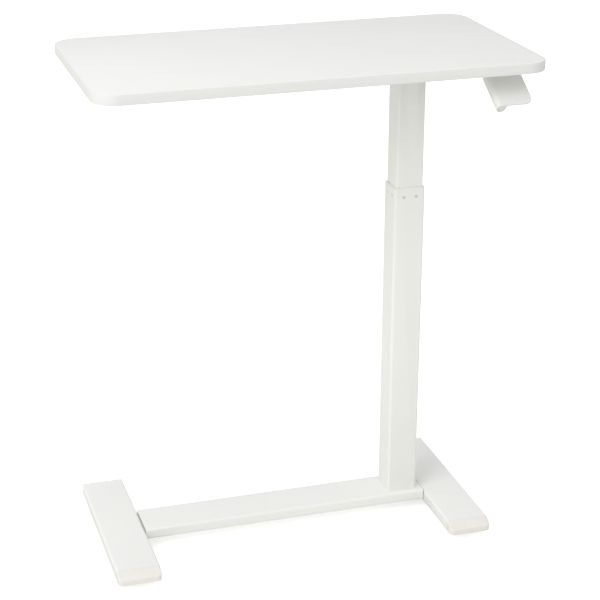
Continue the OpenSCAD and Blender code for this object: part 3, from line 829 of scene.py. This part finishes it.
def swept_rod(corners, r, bend_r):
    """Round rod along straight runs joined by smooth bends."""
    bend_steps = 8
    around = 28
    path = [corners[0]]
    for before, corner, after in zip(corners, corners[1:], corners[2:]):
        arrive = (corner - before).normalized()
        leave = (after - corner).normalized()
        angle = arrive.angle(leave)
        start = corner - arrive * (bend_r * math.tan(angle / 2))
        centre = corner + (leave - arrive).normalized() * (bend_r / math.cos(angle / 2))
        axis = arrive.cross(leave).normalized()
        for i in range(bend_steps + 1):
            turn = Matrix.Rotation(angle * i / bend_steps, 3, axis)
            path.append(centre + turn @ (start - centre))
    path.append(corners[-1])
    circle = arc(0, 0, r, 0, 360 - 360 / around, around - 1)
    rings = []
    side = (path[1] - path[0]).orthogonal().normalized()
    for before, point, after in zip(path[:1] + path, path, path[1:] + path[-1:]):
        ahead = (after - before).normalized()
        side = (side - ahead * side.dot(ahead)).normalized()
        other = ahead.cross(side)
        rings.append([point + side * u + other * v for u, v in circle])
    return loft(rings)


def build_lever():
    """Paddle, the bent rod that it is moulded on, and the finger over the column's pin."""
    space = lever_space()
    build_paddle(space)
    low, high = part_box("lever_rod")
    finger_low, finger_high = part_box("release_finger")
    pivot_z = (finger_low.z + finger_high.z) / 2
    pivot_y = high.y - ROD_R
    into = space @ Vector((0, SLEEVE_END, 0))
    rise = space.to_3x3() @ Vector((0, 1, 0))
    bend = into + rise * ((pivot_z - into.z) / rise.z)
    bend_r = 2.2 * ROD_R
    corners = [Vector((low.x, pivot_y, pivot_z)), Vector((high.x - ROD_R, pivot_y, pivot_z)), bend, into]
    rod = make_object("lever_bent_rod", swept_rod(corners, ROD_R, bend_r), ZINC)
    finish_piece(rod, "lever", "zinc_steel", "lever_rod")
    softened("release_finger", ZINC, width=0.0004)


# ---- Screws and bolts ----

def hexagon_socket(head_r):
    """Radius of a hexagon socket at an angle; its width across flats is the head's radius."""
    return lambda angle: head_r / 2 / math.cos((angle + math.pi / 6) % (math.pi / 3) - math.pi / 6)


def cross_recess(head_r):
    """Radius of a cross recess at an angle, from its head's radius."""
    reach = 0.6 * head_r
    arm = 0.17 * head_r

    def radius(angle):
        off = abs((angle + math.pi / 4) % (math.pi / 2) - math.pi / 4)
        return min(reach, arm / max(math.sin(off), 0.01))
    return radius


def build_fasteners(node, head_h, shank_share, recess):
    """Screws or bolts of a node, each from its head's face along its shank.

    Heads are at the lower end, or inside the feet when the bolts lie level. shank_share is the
    shank's radius as a share of the head's, and recess gives the driver opening for a head's radius.
    """
    end_soft = 0.0005
    meshes = []
    for low, high in solids(node):
        middle = (low + high) / 2
        size = high - low
        spot = Matrix.Translation((middle.x, middle.y, low.z))
        if size.x > size.z:
            inward = 1 if middle.x < 0 else -1
            face_x = low.x if inward > 0 else high.x
            turn = Matrix.Rotation(inward * math.pi / 2, 4, "Y")
            spot = Matrix.Translation((face_x, middle.y, middle.z)) @ turn
        length = max(size)
        head_r = size.y / 2
        shank_r = head_r * shank_share
        soft = 0.12 * head_r
        opening = recess(head_r)
        depth = 0.55 * head_h
        driver_seat = [(0, depth), (lambda a: 0.8 * opening(a), depth), (opening, 0)]
        head = [(head_r - 2 * soft, 0), (head_r - 0.6 * soft, 0.4 * soft), (head_r, 1.5 * soft),
                (head_r, head_h)]
        shank = [(shank_r, head_h), (shank_r, length - end_soft), (shank_r - end_soft, length),
                 (0, length)]
        meshes.append(lathe(driver_seat + head + shank, moved(spot)))
    piece = make_object(node + "_finished", joined(*meshes), ZINC)
    finish_piece(piece, BODY_OF[node], SLOT_OF[node], node)


# ---- Casters ----

def build_wheel(corner):
    """Soft tyre on a dished core."""
    node = "caster_wheel_" + corner
    low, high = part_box(node)
    middle = (low + high) / 2
    r = (high.z - low.z) / 2
    half = (high.x - low.x) / 2
    place = moved(Matrix.Translation(middle) @ Matrix.Rotation(math.pi / 2, 4, "Y"))
    seat_r = 0.72 * r
    shoulder = 0.0015
    soft = 0.0004
    tyre = ([(seat_r, -half + soft), (seat_r + soft, -half)]
            + arc(r - shoulder, -half + shoulder, shoulder, -90, 0, 6)
            + arc(r - shoulder, half - shoulder, shoulder, 0, 90, 6)
            + [(seat_r + soft, half), (seat_r, half - soft)])
    turned = lathe(tyre, place, WHEEL_TURN_STEPS, close_round=True)
    piece = make_object(node + "_tyre", turned, TYRE_GREY)
    finish_piece(piece, BODY_OF[node], SLOT_OF[node], node)

    # Heights on the core are shares of its half width
    bore_r = 0.17 * r
    hub_r = 0.38 * r
    web = 0.55
    rim = 0.0012
    hub = [(bore_r, 1.0), (hub_r - soft, 1.0), (hub_r, 0.94)]
    dish = [(hub_r + 0.25 * rim, web), (seat_r - rim, web), (seat_r - 0.75 * rim, 0.92), (seat_r, 0.9)]
    outline = hub + dish
    core = [(radius, half * share) for radius, share in outline]
    core += [(radius, -half * share) for radius, share in reversed(outline)]
    turned = lathe(core, place, WHEEL_TURN_STEPS, close_round=True)
    piece = make_object(node + "_core", turned, PLASTIC_GREY)
    finish_piece(piece, BODY_OF[node], SLOT_OF[node], node)


def build_axle(corner):
    """Riveted axle: both ends are upset and dimpled."""
    node = "caster_axle_" + corner
    low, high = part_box(node)
    middle = (low + high) / 2
    r = (high.z - low.z) / 2
    half = (high.x - low.x) / 2
    dimple = 0.0005
    end = [(0, half - dimple), (0.3 * r, half - 0.8 * dimple), (0.5 * r, half),
           (0.85 * r, half), (r, half - 0.6 * dimple)]
    profile = [(radius, -h) for radius, h in end] + list(reversed(end))
    place = moved(Matrix.Translation(middle) @ Matrix.Rotation(math.pi / 2, 4, "Y"))
    piece = make_object(node + "_finished", lathe(profile, place), ZINC)
    finish_piece(piece, BODY_OF[node], SLOT_OF[node], node)


# ---- Parts under the top and inside the column ----

def build_fittings():
    """Parts that keep their CAD shape, with hard edges broken and a finish of their own."""
    finishes = (
        (STEEL_WHITE, 0.0006, ("top_support",)),
        (DARK_PLASTIC, 0.0005, ("bearing_block_left", "bearing_block_right", "lower_glide",
                                "gas_spring_gland", "gas_spring_piston")),
        (BLACK_COAT, 0.0004, ("gas_spring_cylinder",)),
        (CHROME, 0.0002, ("gas_spring_rod", "release_pin")),
        (ZINC, 0.0003, ("spring_head_plate", "spring_head_nut", "spring_support_tube",
                        "column_base_plate", "foot_nuts")),
    )
    for material, width, nodes in finishes:
        for node in nodes:
            softened(node, material, width)
    for corner in CORNERS:
        softened("caster_plate_" + corner, ZINC, width=0.0003)
        softened("caster_fork_" + corner, DARK_PLASTIC, width=0.0004)


# ---- Studio ----

WORLD_LIGHT = 0.77
FLOOR_GLOW = 0.62
LAMP_DISTANCE = 7.0


def make_camera():
    """Camera at the left of the front, looking down at the table."""
    yaw = math.radians(16.008)
    pitch = math.radians(21.278)
    roll = math.radians(-0.275)
    data = bpy.data.cameras.new("camera")
    data.sensor_width = 36
    data.lens = 98.96
    data.shift_x = 0.0596
    data.shift_y = -0.0269
    data.dof.use_dof = False
    ahead = Vector((math.sin(yaw) * math.cos(pitch), math.cos(yaw) * math.cos(pitch), -math.sin(pitch)))
    level = Vector((math.cos(yaw), -math.sin(yaw), 0))
    above = level.cross(ahead)
    right = level * math.cos(roll) + above * math.sin(roll)
    up = above * math.cos(roll) - level * math.sin(roll)
    spot = (-0.7396, -2.3999, 1.4101)
    aim = Matrix((right, up, -ahead)).transposed().to_4x4()
    camera = bpy.data.objects.new("camera", data)
    camera.matrix_world = Matrix.Translation(spot) @ aim
    bpy.context.scene.collection.objects.link(camera)
    bpy.context.scene.camera = camera


def add_lamp(name, azimuth, elevation, power, size):
    """A round soft lamp facing the table's middle; azimuth and elevation in degrees, from +X."""
    middle = Vector((0, 0, 0.4))
    across = math.radians(azimuth)
    up = math.radians(elevation)
    aim = Vector((math.cos(up) * math.cos(across), math.cos(up) * math.sin(across), math.sin(up)))
    data = bpy.data.lights.new(name, "AREA")
    data.shape = "DISK"
    data.size = size
    data.energy = power
    lamp = bpy.data.objects.new(name, data)
    lamp.location = middle + LAMP_DISTANCE * aim
    lamp.rotation_mode = "QUATERNION"
    lamp.rotation_quaternion = aim.to_track_quat("Z", "Y")
    bpy.context.scene.collection.objects.link(lamp)


def floor_material():
    """White paper floor that shows brighter to the camera than it lights the table."""
    material, shader = start_material("studio_floor", (0.83, 0.83, 0.79), roughness=0.9, specular=0.1)
    shader.inputs["Emission Color"].default_value = (1, 1, 1, 1)
    ray = material.node_tree.nodes.new("ShaderNodeLightPath")
    feed(material, shader, "Emission Strength",
         spread(material, ray.outputs["Is Camera Ray"], low=0.0, high=FLOOR_GLOW, start=0.0, end=1.0))
    return material


def build_studio():
    """White floor, white surroundings, a large soft key lamp and a low fill."""
    half = 30.0
    corners = ((-half, -half), (half, -half), (half, half), (-half, half))
    bm = bmesh.new()
    bm.faces.new([bm.verts.new((x, y, 0)) for x, y in corners])
    make_object("studio_floor", bm, floor_material())
    world = bpy.data.worlds.new("studio")
    world.use_nodes = True
    backdrop = world.node_tree.nodes["Background"]
    backdrop.inputs["Color"].default_value = (1, 1, 1, 1)
    backdrop.inputs["Strength"].default_value = WORLD_LIGHT
    bpy.context.scene.world = world
    add_lamp("key", azimuth=214.5, elevation=41, power=190, size=4.5)
    add_lamp("fill", azimuth=235, elevation=14, power=24, size=4.0)
    settings = bpy.context.scene.view_settings
    settings.view_transform = "Standard"
    settings.look = "None"


make_camera()
build_studio()
build_tabletop()
build_lower_column()
build_upper_column()
build_collar()
build_crossbar()
for foot_side in SIDES:
    build_foot(foot_side)
    build_caps(foot_side)
build_lever()
build_fasteners("tabletop_screws", head_h=0.0024, shank_share=0.5, recess=cross_recess)
build_fasteners("bearing_block_screws", head_h=0.0025, shank_share=0.57, recess=cross_recess)
build_fasteners("column_bolts", head_h=0.006, shank_share=0.6, recess=hexagon_socket)
build_fasteners("foot_bolts", head_h=0.005, shank_share=0.588, recess=hexagon_socket)
for wheel_corner in CORNERS:
    build_wheel(wheel_corner)
    build_axle(wheel_corner)
build_fittings()
